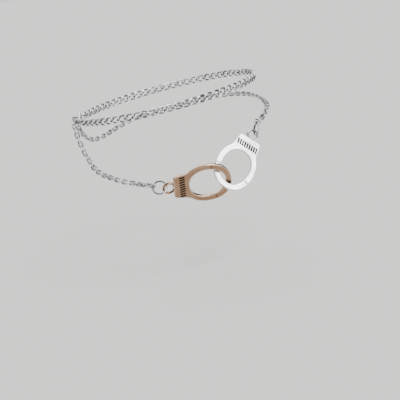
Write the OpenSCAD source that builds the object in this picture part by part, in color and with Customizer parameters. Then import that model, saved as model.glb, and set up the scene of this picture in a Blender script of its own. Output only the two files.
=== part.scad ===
// Two-strand anklet with two linked cuff charms.
// The origin is on the axis of the ankle, level with the upper strand.
// +Z runs up the ankle, -Y points to its front, and +X is to the right of one who looks at it.

/* [Ankle] */
// Half width of the upper strand's loop, to the middle of the chain
loop_half_w = 34.4; // [34:0.1:35]
// Half depth of the upper strand's loop, to the middle of the chain
loop_half_d = 31.3; // [31:0.1:32]

/* [Curb chain] */
// Distance from one link to the next, before it is fitted to the loop
curb_pitch = 3.0; // [2.98:0.01:3.04]
// Width of the chain across its links
curb_w = 3.0; // [2.9:0.05:3.2]
// Thickness of the wire of a link
curb_wire = 0.72; // [0.64:0.02:0.72]
// Length of a link outside
curb_link_len = 4.92; // [4.84:0.02:4.96]
// Height of the twist to each side of the link's middle plane
curb_twist = 0.46; // [0.44:0.01:0.5]
// Thickness that the chain is cut flat to
curb_flat = 1.3; // [1.2:0.05:1.4]

/* [Cable chain] */
// Distance from one link to the next, before it is fitted to its route
cable_pitch = 1.82; // [1.81:0.01:1.83]
// Thickness of the wire of a link
cable_wire = 0.58; // [0.5:0.02:0.58]
// Width of a link outside
cable_w = 2.1; // [2.06:0.02:2.14]
// Straight stretch between the round ends of a link
cable_straight = 1.08; // [1.06:0.01:1.1]
// Outer diameter of the round link at the end of the chain
end_ring_d = 2.72; // [2.7:0.01:2.74]
// Thickness of its wire
end_ring_wire = 0.52; // [0.48:0.01:0.52]

/* [Cuff charms] */
// Inner radius of the ring at its round ends
cuff_inner_r = 5.4; // [5.4:0.05:5.5]
// Width of the ring's band
cuff_band = 2.1; // [1.9:0.05:2.15]
// Length by which the ring is longer than it is wide
cuff_stretch = 2.4; // [2.2:0.1:2.6]
// Thickness of the casting
cuff_t = 1.5; // [1.3:0.05:1.5]
// Chamfer along the edges of the ring
cuff_chamfer = 0.3; // [0.2:0.05:0.4]
// Width of the plate at its outer edge
plate_w = 8.7; // [8.6:0.1:9.2]
// Distance from the middle of the ring to the plate's outer edge
plate_reach = 12.4; // [12.3:0.1:12.5]
// Radius of the plate's outer corners
plate_corner = 1.1; // [0.6:0.1:1.6]
// Outer diameter of the loop on the plate
loop_d = 4.8; // [4.75:0.05:4.9]
// Thickness of the loop's wire
loop_wire = 0.85; // [0.75:0.05:0.85]
// Number of short strokes engraved across the plate
stroke_count = 9; // [3:1:9]

/* [Rings and clasp] */
// Outer diameter of the rings that hold the charms
jump_d = 5.7; // [5.68:0.01:5.72]
// Thickness of their wire
jump_wire = 0.66; // [0.58:0.01:0.66]
// Outer diameter of the rings at the clasp
join_d = 6.0; // [5.9:0.05:6.1]
// Thickness of their wire
join_wire = 0.7; // [0.6:0.05:0.7]
// Thickness of the clasp's body
clasp_t = 2.2; // [1.8:0.1:2.4]

/* [Hidden] */

bright = [0.80, 0.80, 0.82];
warm = [0.62, 0.50, 0.41];

// Least space between two wires that link
wire_gap = 0.12;
// Space between the last cable link and the round link, to which their curves add
end_gap = 0.04;
// Space beside a ring at the clasp, which curves within what it holds
join_gap = 0.28;

// Smoothness of wires and of rings
wire_fn = 40;
ring_fn = 96;

// Sides of the wire of a curb link, and of the link itself
curb_wire_sides = 6;
curb_sides = 12;

// Where the rings at the clasp are, in turn round the ankle, and how far they stand off it
join_left_turn = -163.5;
join_back_turn = 168;
join_lift = 1.0;
// Turn over which the upper strand comes down to the ankle beside them
lift_turn = 28;

// Charms and rings beside them: middle, then spin in their own plane, tilt and yaw
cuff_left_at = [6.37, -34.28, -28.8];
cuff_left_turns = [-6.95, 20.55, 4.8];
cuff_right_at = [17.34, -31.88, -26.64];
cuff_right_turns = [216.5, 23.75, 33.8];
jump_left_at = [-10.65, -35.5, -26.03];
jump_left_turns = [0, -36.5, 1.15];
jump_right_at = [28.73, -25.78, -16.08];
jump_right_turns = [0, -28.5, -76.85];
end_left_at = [-13.03, -34.52, -24.87];
end_left_turns = [0, 21.3, -34.6];
end_right_at = [29.62, -23.85, -14.31];
end_right_turns = [0, -29.1, 32.5];

// Turn from each link of the lower strand to the next, on the left and on the right
left_link_turn = 86.8;
right_link_turn = 90;

// Lower strand, as rows of turn round the ankle, height, and stand-off from it
left_rows = [
    [-164.2, -5, 2.9],
    [-163.9, -9.5, 2.2],
    [-162.2, -13.2, 1.3],
    [-158.5, -16.1, 0.7],
    [-153, -18.2, 0.3],
    [-147, -19.6, 0.1],
    [-139, -20.8, 0],
    [-133, -21.7, 0.2],
    [-127, -22.6, 0.6],
    [-121, -23.4, 1.0],
    [-115, -24.1, 2.2]
];
right_rows = [
    [-35.2, -13.4, 4.0],
    [-29, -12.2, 3.8],
    [-22, -11.5, 3.0],
    [-15, -11.1, 1.9],
    [-7, -10.9, 0.9],
    [3.5, -10.5, 0.4],
    [14, -9.8, 0.1],
    [30, -8.9, 0],
    [55, -8.4, 0],
    [85, -8.4, 0],
    [113, -8.9, 0],
    [128, -9.9, 0],
    [139, -10.9, 0.2],
    [149, -11.4, 0.8],
    [156.5, -10.6, 1.5],
    [162.2, -8.3, 2.2],
    [166, -4.6, 2.9]
];

// Smooth curve through rows of numbers, by a cubic between each two rows
function cubic(a, b, c, d, u) =
    0.5 * (2 * b + (c - a) * u + (2 * a - 5 * b + 4 * c - d) * u * u
           + (3 * b - a - 3 * c + d) * u * u * u);
function row(rows, i) = rows[max(0, min(len(rows) - 1, i))];
function smooth_rows(rows, steps) = [
    for (i = [0 : len(rows) - 2]) for (k = [0 : steps - 1])
        cubic(row(rows, i - 1), row(rows, i), row(rows, i + 1), row(rows, i + 2), k / steps),
    rows[len(rows) - 1]
];

// Length run along a line of points, up to each point
function run_lengths(p) = [
    for (i = 0, s = 0; i < len(p); s = s + (i + 1 < len(p) ? norm(p[i + 1] - p[i]) : 0), i = i + 1) s
];
// A route is three tables that give each coordinate by the length run so far
function route(p) = let (s = run_lengths(p)) [
    for (axis = [0 : 2]) [for (i = [0 : len(p) - 1]) [s[i], p[i][axis]]]
];
function route_length(r) = r[0][len(r[0]) - 1][0];
function at(r, s) = [lookup(s, r[0]), lookup(s, r[1]), lookup(s, r[2])];
function unit(v) = v / norm(v);
function direction(r, s) = unit(at(r, s + 0.9) - at(r, s - 0.9));
// Outward normal of the ankle at a place, square to a direction
function outward(p, t) = let (n = [p.x / pow(loop_half_w, 2), p.y / pow(loop_half_d, 2), 0])
    unit(n - t * (n * t));

// Half width and half depth of the ankle at a height, to the middle of a chain that lies on it
function half_w(z) = loop_half_w - 0.06 * z + 0.006 * pow(max(0, -z - 10), 2);
function half_d(z) = loop_half_d - 0.09 * z;
// Place of a row of turn, height and stand-off
function on_ankle(r) = [(half_w(r[1]) + r[2]) * cos(r[0]), (half_d(r[1]) + r[2]) * sin(r[0]), r[1]];
// The same row from a place
function as_row(p) = let (t = atan2(p.y / half_d(p.z), p.x / half_w(p.z)))
    [t, p.z, norm([p.x, p.y]) - norm([half_w(p.z) * cos(t), half_d(p.z) * sin(t)])];

// A child is carried to a place, with its three axes turned to those given
module carry(place, x_axis, y_axis, z_axis) {
    multmatrix([
        [x_axis.x, y_axis.x, z_axis.x, place.x],
        [x_axis.y, y_axis.y, z_axis.y, place.y],
        [x_axis.z, y_axis.z, z_axis.z, place.z],
        [0, 0, 0, 1]
    ]) children();
}

// A child that faces +Z is carried to a place on the front, facing out, then spun, tilted and yawed
module hang(place, turns) {
    translate(place) rotate([0, 0, turns[2]]) rotate([90, 0, 0])
        rotate([0, 0, turns[0]]) rotate([turns[1], 0, 0]) children();
}
// Normal of such a child
function hung_normal(turns) = let (up = -sin(turns[1]), out = cos(turns[1]))
    [out * sin(turns[2]), -out * cos(turns[2]), up];

// Round wire ring about Z
module wire_ring(outer_d, wire) {
    rotate_extrude($fn = ring_fn) translate([(outer_d - wire) / 2, 0]) circle(d = wire, $fn = wire_fn);
}

// Upper strand: its route, and its links from the left ring round the front to the back ring

function lift(turn) = join_lift
    * pow(max(0, 1 - min(abs(turn - join_left_turn), abs(turn - join_back_turn)) / lift_turn), 2);
upper_route = route([for (turn = [join_left_turn : 0.75 : join_back_turn]) on_ankle([turn, 0, lift(turn)])]);

join_r = (join_d - join_wire) / 2;
curb_half_len = (curb_link_len - curb_wire) / 2;
curb_half_w = (curb_w - curb_wire) / 2;
// Distance from a ring's middle to the middle of the link that is hooked on it
curb_hook = join_r + curb_half_len - (curb_wire + join_wire) / 2 - join_gap;
curb_run = route_length(upper_route) - 2 * curb_hook;
curb_count = round(curb_run / curb_pitch) + 1;

function curb_line(t) = [curb_half_len * cos(t), curb_half_w * sin(t), -curb_twist * sin(2 * t)];
function cut_flat(z) = max(-curb_flat / 2, min(curb_flat / 2, z));
function curb_point(t, turn) =
    let (tangent = unit(curb_line(t + 1) - curb_line(t - 1)),
         side = unit(cross(tangent, [0, 0, 1])),
         top = cross(side, tangent),
         p = curb_line(t) + curb_wire / 2 * (cos(turn) * side + sin(turn) * top))
    [p.x, p.y, cut_flat(p.z)];

// One curb link: a wire carried round an oval that is twisted out of its plane
module curb_link() {
    m = curb_sides;
    n = curb_wire_sides;
    points = [for (i = [0 : m - 1]) for (k = [0 : n - 1]) curb_point(360 * (i + 0.5) / m, 360 * (k + 0.5) / n)];
    faces = [for (i = [0 : m - 1]) for (k = [0 : n - 1])
        let (a = i * n + k, b = i * n + (k + 1) % n, c = (i + 1) % m * n + (k + 1) % n, d = (i + 1) % m * n + k)
        each [[a, b, c], [a, c, d]]];
    polyhedron(points, faces);
}

module curb_chain() {
    color(bright) for (i = [0 : curb_count - 1]) {
        s = curb_hook + curb_run * i / (curb_count - 1);
        p = at(upper_route, s);
        t = direction(upper_route, s);
        n = outward(p, t);
        carry(p, t, cross(n, t), n) curb_link();
    }
}

// Rings at the clasp, level, on the route's two ends

join_left_at = on_ankle([join_left_turn, 0, join_lift]);
join_back_at = on_ankle([join_back_turn, 0, join_lift]);
module join_ring_left() { color(bright) translate(join_left_at) wire_ring(join_d, join_wire); }
module join_ring_back() { color(bright) translate(join_back_at) wire_ring(join_d, join_wire); }

// Place on a ring at the clasp that is furthest from the ankle, where the lower strand hangs
function outer_place(p) = p + join_r * unit([p.x / pow(loop_half_w, 2), p.y / pow(loop_half_d, 2), 0]);
// Direction of the ring's wire there
function outer_wire(p) = cross([0, 0, 1], unit(outer_place(p) - p));

// Lower strand: its two routes and its links

cable_bend = (cable_w - cable_wire) / 2;
cable_half_len = cable_straight / 2 + cable_bend;
end_ring_r = (end_ring_d - end_ring_wire) / 2;
cable_hook_join = cable_half_len - (cable_wire + join_wire) / 2 - wire_gap;
cable_hook_end = cable_half_len + end_ring_r - (cable_wire + end_ring_wire) / 2 - end_gap;

left_route = route([for (r = smooth_rows(
    concat([as_row(outer_place(join_left_at))], left_rows, [as_row(end_left_at)]), 12)) on_ankle(r)]);
right_route = route([for (r = smooth_rows(
    concat([as_row(end_right_at)], right_rows, [as_row(outer_place(join_back_at))]), 12)) on_ankle(r)]);

// One oval cable link in the XY plane, long in X
module cable_link() {
    for (e = [-1, 1]) {
        translate([e * cable_straight / 2, 0, 0]) rotate([0, 0, -90 * e])
            rotate_extrude(angle = 180, $fn = wire_fn) translate([cable_bend, 0]) circle(d = cable_wire, $fn = wire_fn);
        translate([-cable_straight / 2, e * cable_bend, 0]) rotate([0, 90, 0])
            cylinder(d = cable_wire, h = cable_straight, $fn = wire_fn);
    }
}

// Angle of a link's open side about the chain, from outward, for a wire that passes through it
function wire_angle(r, s, wire) = let (t = direction(r, s), n = outward(at(r, s), t))
    atan2(wire * cross(n, t), wire * n);
function half_turn(a) = a - 180 * round(a / 180);

// Links from one length on a route to another; each is turned about a quarter from the last, and
// the strand twists over its last few links to meet the wire that the end link holds
module cable_links(r, from, to, link_turn, first_wire, last_wire, twist_at_end) {
    run = to - from;
    count = round(run / cable_pitch) + 1;
    first = wire_angle(r, from, first_wire);
    twist = half_turn(wire_angle(r, to, last_wire) - first - link_turn * (count - 1));
    twist_links = 5;
    for (i = [0 : count - 1]) {
        s = from + run * i / (count - 1);
        share = twist_at_end ? max(0, 1 - (count - 1 - i) / twist_links) : min(1, i / twist_links);
        turn = first + link_turn * i + twist * share;
        p = at(r, s);
        t = direction(r, s);
        n = outward(p, t);
        hole = n * cos(turn) + cross(n, t) * sin(turn);
        carry(p, t, cross(hole, t), hole) cable_link();
    }
}
// Wire that an end link's own plane is square to: across the round link and along its face
function end_wire(r, s, turns) = cross(direction(r, s), hung_normal(turns));

module cable_chain_left() {
    to = route_length(left_route) - cable_hook_end;
    color(bright) {
        cable_links(left_route, cable_hook_join, to, left_link_turn, outer_wire(join_left_at),
                    end_wire(left_route, to, end_left_turns), true);
        hang(end_left_at, end_left_turns) wire_ring(end_ring_d, end_ring_wire);
    }
}

module cable_chain_right() {
    to = route_length(right_route) - cable_hook_join;
    color(bright) {
        cable_links(right_route, cable_hook_end, to, right_link_turn,
                    end_wire(right_route, cable_hook_end, end_right_turns), outer_wire(join_back_at), false);
        hang(end_right_at, end_right_turns) wire_ring(end_ring_d, end_ring_wire);
    }
}

module jump_ring_left() { color(bright) hang(jump_left_at, jump_left_turns) wire_ring(jump_d, jump_wire); }
module jump_ring_right() { color(bright) hang(jump_right_at, jump_right_turns) wire_ring(jump_d, jump_wire); }

// Cuff charm: ring, plate and loop in one casting, in the XY plane with the loop towards -X

cuff_outer_r = cuff_inner_r + cuff_band;
band_section = let (a = cuff_inner_r, b = cuff_outer_r, h = cuff_t / 2, c = cuff_chamfer) [
    [a + c, -h], [b - c, -h], [b, c - h], [b, h - c], [b - c, h], [a + c, h], [a, h - c], [a, c - h]
];
// Half outline of the plate, as places from its outer edge to the ring
plate_side = [
    [-plate_reach + plate_corner, plate_w / 2], [-9.4, plate_w / 2 + 0.27], [-7.7, plate_w / 2 + 0.57],
    [-6.6, plate_w / 2 + 0.99], [-5.7, plate_w / 2 + 1.6], [-4, 4]
];
// Engraved strokes: place, spacing, size and slant
stroke_x = -9.2;
stroke_step = 0.95;
stroke_len = 2;
stroke_w = 0.5;
stroke_slant = 12;
// Engraved lines across the ring: turn from its end, on the +Y and the -Y side
left_lines = [86, -75];
right_lines = [74, -83];
line_w = 0.22;
engraving = 0.15;

module cuff_ring() {
    for (e = [-1, 1]) {
        translate([e * cuff_stretch / 2, 0, 0]) rotate([0, 0, -90 * e])
            rotate_extrude(angle = 180, $fn = ring_fn) polygon(band_section);
        mirror([0, (1 - e) / 2, 0]) translate([-cuff_stretch / 2, 0, 0]) rotate([90, 0, 90])
            linear_extrude(cuff_stretch) polygon(band_section);
    }
}

module cuff_plate() {
    difference() {
        union() {
            translate([0, 0, -cuff_t / 2]) linear_extrude(cuff_t) polygon(concat(
                plate_side, [for (i = [len(plate_side) - 1 : -1 : 0]) [plate_side[i].x, -plate_side[i].y]],
                [[-plate_reach, -plate_w / 2 + plate_corner], [-plate_reach, plate_w / 2 - plate_corner]]));
            for (e = [-1, 1]) translate([-plate_reach + plate_corner, e * (plate_w / 2 - plate_corner), -cuff_t / 2])
                cylinder(r = plate_corner, h = cuff_t, $fn = wire_fn);
        }
        for (e = [-1, 1]) translate([e * cuff_stretch / 2, 0, -cuff_t])
            cylinder(r = cuff_inner_r + cuff_band / 2, h = 2 * cuff_t, $fn = ring_fn);
    }
}

module cuff(lines) {
    difference() {
        union() {
            cuff_ring();
            cuff_plate();
            translate([-plate_reach - loop_d / 2 + 0.9 * loop_wire, 0, 0]) wire_ring(loop_d, loop_wire);
        }
        for (i = [0 : stroke_count - 1])
            translate([stroke_x, (i - (stroke_count - 1) / 2) * stroke_step, cuff_t / 2]) rotate([0, 0, stroke_slant])
                cube([stroke_len, stroke_w, 2 * engraving], center = true);
        for (turn = lines) for (f = [-1, 1])
            translate([cuff_stretch / 2, 0, f * cuff_t / 2]) rotate([0, 0, turn])
                translate([cuff_inner_r + cuff_band / 2, 0, 0])
                    cube([2 * cuff_band, line_w, 2 * engraving], center = true);
    }
}

module cuff_left() { color(warm) hang(cuff_left_at, cuff_left_turns) cuff(left_lines); }
module cuff_right() { color(bright) hang(cuff_right_at, cuff_right_turns) cuff(right_lines); }

// Clasp: one plain piece from the eye on the left ring to the hook on the back ring

clasp_line = join_back_at - join_left_at;
eye_r = 0.95;
eye_wall = 0.8;
eye_t = 1.0;
hook_r = 1.6;
hook_wall = 1.2;
hook_t = 1.4;
// The left ring's wire lies at one side of the eye, and the back ring's at the hook's far side
eye_wire = -(eye_r - join_wire / 2 - join_gap);
hook_wire = eye_wire + norm(clasp_line) - 2 * join_r;
hook_x = hook_wire + join_wire / 2 + join_gap - hook_r;

module clasp_plate(outline, t) {
    translate([0, 0, -t / 2]) linear_extrude(t)
        polygon(concat(outline, [for (i = [len(outline) - 1 : -1 : 0]) [outline[i].x, -outline[i].y]]));
}

module clasp() {
    x_axis = unit(clasp_line);
    z_axis = unit([join_left_at.x + join_back_at.x, join_left_at.y + join_back_at.y, 0]);
    z_square = unit(z_axis - x_axis * (x_axis * z_axis));
    color(bright) carry(join_left_at + x_axis * (join_r - eye_wire), x_axis, cross(z_square, x_axis), z_square)
        difference() {
            union() {
                translate([0, 0, -eye_t / 2]) cylinder(r = eye_r + eye_wall, h = eye_t, $fn = ring_fn);
                clasp_plate([[0.9, 0.9], [hook_x - 4, 1.6], [hook_x, hook_r + hook_wall]], hook_t);
                clasp_plate([[hook_x - 6.6, 1.0], [hook_x - 5.4, 1.7], [hook_x - 3.2, 2.2], [hook_x - 2.2, 1.6]],
                            clasp_t);
                translate([hook_x, 0, -hook_t / 2]) cylinder(r = hook_r + hook_wall, h = hook_t, $fn = ring_fn);
            }
            translate([0, 0, -clasp_t]) cylinder(r = eye_r, h = 2 * clasp_t, $fn = ring_fn);
            translate([hook_x, 0, -clasp_t]) cylinder(r = hook_r, h = 2 * clasp_t, $fn = ring_fn);
        }
}

curb_chain();
cable_chain_left();
cable_chain_right();
jump_ring_left();
jump_ring_right();
cuff_left();
cuff_right();
join_ring_left();
join_ring_back();
clasp();
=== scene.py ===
"""Two-strand anklet with two linked cuff charms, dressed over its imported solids.

The classes hold sizes in millimetres and turns in degrees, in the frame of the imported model: the
origin is on the axis of the ankle, level with the upper strand, +Z runs up the ankle and -Y to its
front. Meshes are in metres.
"""

from __future__ import annotations

import logging
import math
from dataclasses import dataclass, field
from enum import Enum

import bpy
import numpy as np
from mathutils import Matrix, Vector

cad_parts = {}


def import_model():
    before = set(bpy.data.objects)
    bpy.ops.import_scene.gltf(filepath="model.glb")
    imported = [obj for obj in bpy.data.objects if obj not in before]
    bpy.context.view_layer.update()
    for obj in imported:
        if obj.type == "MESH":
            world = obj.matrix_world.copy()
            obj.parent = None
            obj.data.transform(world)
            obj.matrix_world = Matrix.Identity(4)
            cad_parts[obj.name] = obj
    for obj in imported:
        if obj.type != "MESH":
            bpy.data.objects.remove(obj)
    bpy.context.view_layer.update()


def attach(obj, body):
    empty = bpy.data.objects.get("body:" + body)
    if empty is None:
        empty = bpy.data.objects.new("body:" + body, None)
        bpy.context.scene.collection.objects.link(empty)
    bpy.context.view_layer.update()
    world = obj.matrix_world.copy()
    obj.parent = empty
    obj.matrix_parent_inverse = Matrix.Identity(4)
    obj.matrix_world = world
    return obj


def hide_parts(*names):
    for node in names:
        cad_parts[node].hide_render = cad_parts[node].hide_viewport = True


MM = 0.001
UP = np.array([0.0, 0.0, 1.0])
# A copy's tone goes with the sine of a start and one step for each copy before it, in radians
TONE_START, TONE_STEP = 0.7, 2.399
# How much of the mark "hollow" is taken off a wire all round, which leaves its outer side bright
BRIGHT_SHARE = 0.1
# Outer diameter and wire of the round links at the lower strand's charm ends
END_D, END_WIRE = 2.72, 0.52

Array = np.ndarray
Colour = tuple[float, float, float]
Place = tuple[float, float, float]
Socket = bpy.types.NodeSocket

log = logging.getLogger("anklet")


# Arrays of vectors


def unit(v: Array) -> Array:
    """The vectors of an array, each made one long."""
    return v / np.linalg.norm(v, axis=-1, keepdims=True)


def dot(a: Array, b: Array) -> Array:
    """The dot product of each two vectors of two arrays, with the last axis kept."""
    return np.sum(a * b, axis=-1, keepdims=True)


def smooth_step(x: Array) -> Array:
    """Zero below zero, one above one, and 3x^2 - 2x^3 between."""
    x = np.clip(x, 0.0, 1.0)
    return x * x * (3.0 - 2.0 * x)


def around(count: int) -> Array:
    """Angles that divide a full turn evenly, from zero, in radians."""
    return np.linspace(0.0, 2.0 * math.pi, count, endpoint=False)


def on_circle(a: Array) -> Array:
    """Unit vectors in the XY plane, at angles from +X."""
    return np.stack([np.cos(a), np.sin(a), 0.0 * a], axis=-1)


def squared_off(x: Array, power: float) -> Array:
    """The sign of x times |x|^power, which makes a superellipse of a circle's coordinates."""
    return np.sign(x) * abs(x) ** power


def through(rows: Array, at: Array) -> Array:
    """Rows on a smooth curve through given rows.

    Between rows b and c, with a before them and d after, the curve is the cubic
    (2b + (c - a) u + (2a - 5b + 4c - d) u^2 + (3b - a - 3c + d) u^3) / 2, for u from 0 to 1.

    Args:
        rows: The given rows.
        at: Where the curve is read: 0 at the first given row, 1 at the next, and so on.

    Returns:
        One row for each of those.
    """
    i = np.clip(np.floor(at).astype(int), 0, len(rows) - 2)
    u = (at - i)[:, None]
    a, b, c, d = (rows[np.clip(i + k, 0, len(rows) - 1)] for k in (-1, 0, 1, 2))
    return 0.5 * (2 * b + (c - a) * u + (2 * a - 5 * b + 4 * c - d) * u**2 + (3 * b - a - 3 * c + d) * u**3)


@dataclass
class Surface:
    """A closed mesh as arrays, before it is put into Blender.

    Attributes:
        places: One row of x, y, z for each vertex, in millimetres.
        quads: Faces of four corners.
        tris: Faces of three corners, at caps.
        marks: Named numbers from 0 to 1, one for each vertex, that the finish reads.
    """

    places: Array
    quads: Array
    tris: Array = field(default_factory=lambda: np.zeros((0, 3), int))
    marks: dict[str, Array] = field(default_factory=dict)

    def facing_out(self) -> Surface:
        """Turns the faces outwards.

        The volume that the faces enclose is the sum of their corners' triple products, and it is
        negative where they face inwards.

        Returns:
            The surface itself, with its faces turned over where that sum is negative.
        """
        tris = np.vstack([self.quads[:, [0, 1, 2]], self.quads[:, [0, 2, 3]], self.tris])
        a, b, c = (self.places[tris[:, i]] for i in range(3))
        if np.sum(a * np.cross(b, c)) < 0:
            self.quads = self.quads[:, ::-1]
            self.tris = self.tris[:, ::-1]
        return self

    def carried(self, place: Array, axes: Array) -> Surface:
        """One copy of the surface at each of several places.

        Args:
            place: Where each copy's origin goes, one row a copy.
            axes: The three turned axes of each copy as the columns of a 3 by 3 matrix, one a copy.

        Returns:
            All the copies as one surface, with a mark "tone" that differs from copy to copy.
        """
        count, size = len(place), len(self.places)
        places = np.einsum("cij,vj->cvi", axes, self.places) + place[:, None, :]
        shift = (np.arange(count) * size)[:, None, None]
        marks = {name: np.tile(value, count) for name, value in self.marks.items()}
        tone = 0.5 + 0.5 * np.sin(np.arange(count) * TONE_STEP + TONE_START)
        marks["tone"] = np.repeat(tone, size)
        quads, tris = (self.quads[None] + shift).reshape(-1, 4), (self.tris[None] + shift).reshape(-1, 3)
        return Surface(places.reshape(-1, 3), quads, tris, marks)

    @staticmethod
    def joined(parts: list[Surface]) -> Surface:
        """Several surfaces as one.

        Args:
            parts: The surfaces. A mark that one of them lacks is zero there.

        Returns:
            The one surface.
        """
        starts = np.cumsum([0] + [len(p.places) for p in parts[:-1]])
        names = sorted({name for p in parts for name in p.marks})
        marks = {
            name: np.concatenate([p.marks.get(name, np.zeros(len(p.places))) for p in parts])
            for name in names
        }
        return Surface(
            np.vstack([p.places for p in parts]),
            np.vstack([p.quads + s for p, s in zip(parts, starts)]),
            np.vstack([p.tris + s for p, s in zip(parts, starts)]),
            marks,
        )


def grid(rows: int, columns: int, close_rows: bool = True) -> Array:
    """Faces of four corners over a grid of vertices that is numbered row by row.

    Args:
        rows: Number of rows.
        columns: Number of vertices in a row, whose last is joined to its first.
        close_rows: Whether the last row is joined to the first.

    Returns:
        One row of four vertex numbers for each face.
    """
    i, k = np.meshgrid(np.arange(rows if close_rows else rows - 1), np.arange(columns), indexing="ij")
    j, m = (i + 1) % rows, (k + 1) % columns
    corners = [i * columns + k, j * columns + k, j * columns + m, i * columns + m]
    return np.stack([c.ravel() for c in corners], axis=1)


def wire(line: Array, along: Array, side: Array, radius: float, sides: int) -> Surface:
    """A round wire carried round a closed line.

    A vertex is the line's point plus the radius times cos(a) of the side vector and sin(a) of the
    vector square to both it and the line, for a round the wire. The mark "hollow" is how far the
    vertex faces the middle of the line, where the finish lays a film that is partly tarnish and partly
    painted shade.

    Args:
        line: The points of the line, one row each.
        along: The line's direction at each.
        side: A vector across the line at each, towards its outer side.
        radius: Radius of the wire.
        sides: Number of vertices round it.

    Returns:
        The closed surface.
    """
    side = unit(side - along * dot(side, along))
    top = np.cross(along, side)
    a = around(sides)[None, :, None]
    out = np.cos(a) * side[:, None, :] + np.sin(a) * top[:, None, :]
    places = (line[:, None, :] + radius * out).reshape(-1, 3)
    # The mark "hollow" darkens the wire's inner side: partly tarnish, partly painted shade.
    hollow = np.clip(0.5 - 0.5 * np.cos(a) - BRIGHT_SHARE, 0.0, 1.0) ** 2
    hollow = np.broadcast_to(hollow, (len(line), sides, 1)).reshape(-1)
    return Surface(places, grid(len(line), sides), marks={"hollow": hollow}).facing_out()


def round_ring(outer_d: float, thickness: float, steps: int = 96, sides: int = 20) -> Surface:
    """A closed wire ring about Z: a circle of points, with the wire's section carried round it.

    Args:
        outer_d: Outer diameter.
        thickness: Thickness of the wire.
        steps: Number of sections.
        sides: Number of vertices round the wire.

    Returns:
        The closed surface.
    """
    out = on_circle(around(steps))
    return wire((outer_d - thickness) / 2.0 * out, np.cross(UP, out), out, thickness / 2.0, sides)


def hung_axes(turns: tuple[float, float, float]) -> Array:
    """Axes of a piece that is drawn facing +Z and hangs at the front, facing out.

    It is tilted about X, spun about Z, stood up about X by a quarter turn, and yawed about Z.

    Args:
        turns: Spin, tilt and yaw.

    Returns:
        The matrix of those turns.
    """
    spin, tilt, yaw = (math.radians(t) for t in turns)
    turned = (
        Matrix.Rotation(yaw, 3, "Z")
        @ Matrix.Rotation(math.pi / 2.0, 3, "X")
        @ Matrix.Rotation(spin, 3, "Z")
        @ Matrix.Rotation(tilt, 3, "X")
    )
    return np.array(turned)


# Finishes


@dataclass(frozen=True)
class Nodes:
    """A node tree, with a method for each sum that the finishes and the room are made of."""

    tree: bpy.types.NodeTree

    def feed(self, socket: Socket, given: float | Colour | Vector | Socket) -> None:
        """Links a socket to another one, or sets it to a number, a vector or a colour.

        Args:
            socket: The socket.
            given: What feeds it.
        """
        if isinstance(given, Socket):
            self.tree.links.new(given, socket)
        elif socket.type == "RGBA":
            socket.default_value = (*given, 1.0)
        else:
            socket.default_value = given

    def mark(self, name: str) -> Socket:
        """The number that the mesh gives each of its places under a name."""
        node = self.tree.nodes.new("ShaderNodeAttribute")
        node.attribute_name = name
        return node.outputs["Fac"]

    def noise(self, where: Socket, scale: float, detail: float) -> Socket:
        """Soft noise over the object.

        Args:
            where: The coordinates that it reads.
            scale: Number of waves to the metre.
            detail: Number of finer layers.

        Returns:
            The noise as a number from 0 to 1.
        """
        node = self.tree.nodes.new("ShaderNodeTexNoise")
        node.inputs["Scale"].default_value = scale
        node.inputs["Detail"].default_value = detail
        self.feed(node.inputs["Vector"], where)
        return node.outputs["Fac"]

    def numbers(self, operation: str, *given: float | Socket) -> Socket:
        """A sum on numbers.

        Args:
            operation: Name of the sum.
            given: Its numbers.

        Returns:
            The result.
        """
        node = self.tree.nodes.new("ShaderNodeMath")
        node.operation = operation
        for socket, number in zip(node.inputs, given):
            self.feed(socket, number)
        return node.outputs["Value"]

    def vectors(self, operation: str, *given: Vector | Socket) -> bpy.types.Node:
        """A sum on vectors.

        Args:
            operation: Name of the sum.
            given: Its vectors.

        Returns:
            The node, whose output "Vector" is the result, or "Value" where that is a number.
        """
        node = self.tree.nodes.new("ShaderNodeVectorMath")
        node.operation = operation
        for socket, vector in zip(node.inputs, given):
            self.feed(socket, vector)
        return node

    def spread(
        self,
        value: Socket,
        ends: tuple[float, float],
        new_ends: tuple[float, float] = (0.0, 1.0),
        interpolation: str = "LINEAR",
    ) -> Socket:
        """A number moved from one range to another, and kept within it.

        Args:
            value: The number.
            ends: What becomes the lower and the upper end.
            new_ends: The lower and the upper end.
            interpolation: How it goes from one to the other.

        Returns:
            The moved number.
        """
        node = self.tree.nodes.new("ShaderNodeMapRange")
        node.interpolation_type = interpolation
        self.feed(node.inputs["Value"], value)
        for name, number in zip(("From Min", "From Max", "To Min", "To Max"), (*ends, *new_ends)):
            node.inputs[name].default_value = number
        return node.outputs["Result"]

    def mix(self, share: Socket, first: Colour | Socket, second: Colour | Socket) -> Socket:
        """A mix of two colours.

        Args:
            share: The share of the second colour.
            first: The first colour.
            second: The second colour.

        Returns:
            The mixed colour.
        """
        node = self.tree.nodes.new("ShaderNodeMix")
        node.data_type = "RGBA"
        self.feed(node.inputs["Factor"], share)
        colours = [socket for socket in node.inputs if socket.type == "RGBA"]
        for socket, colour in zip(colours, (first, second)):
            self.feed(socket, colour)
        return next(socket for socket in node.outputs if socket.type == "RGBA")


class Metal(Enum):
    """The two silvers, by the name of the record's material slot."""

    BRIGHT = "bright_silver"
    WARM = "warm_silver"


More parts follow.
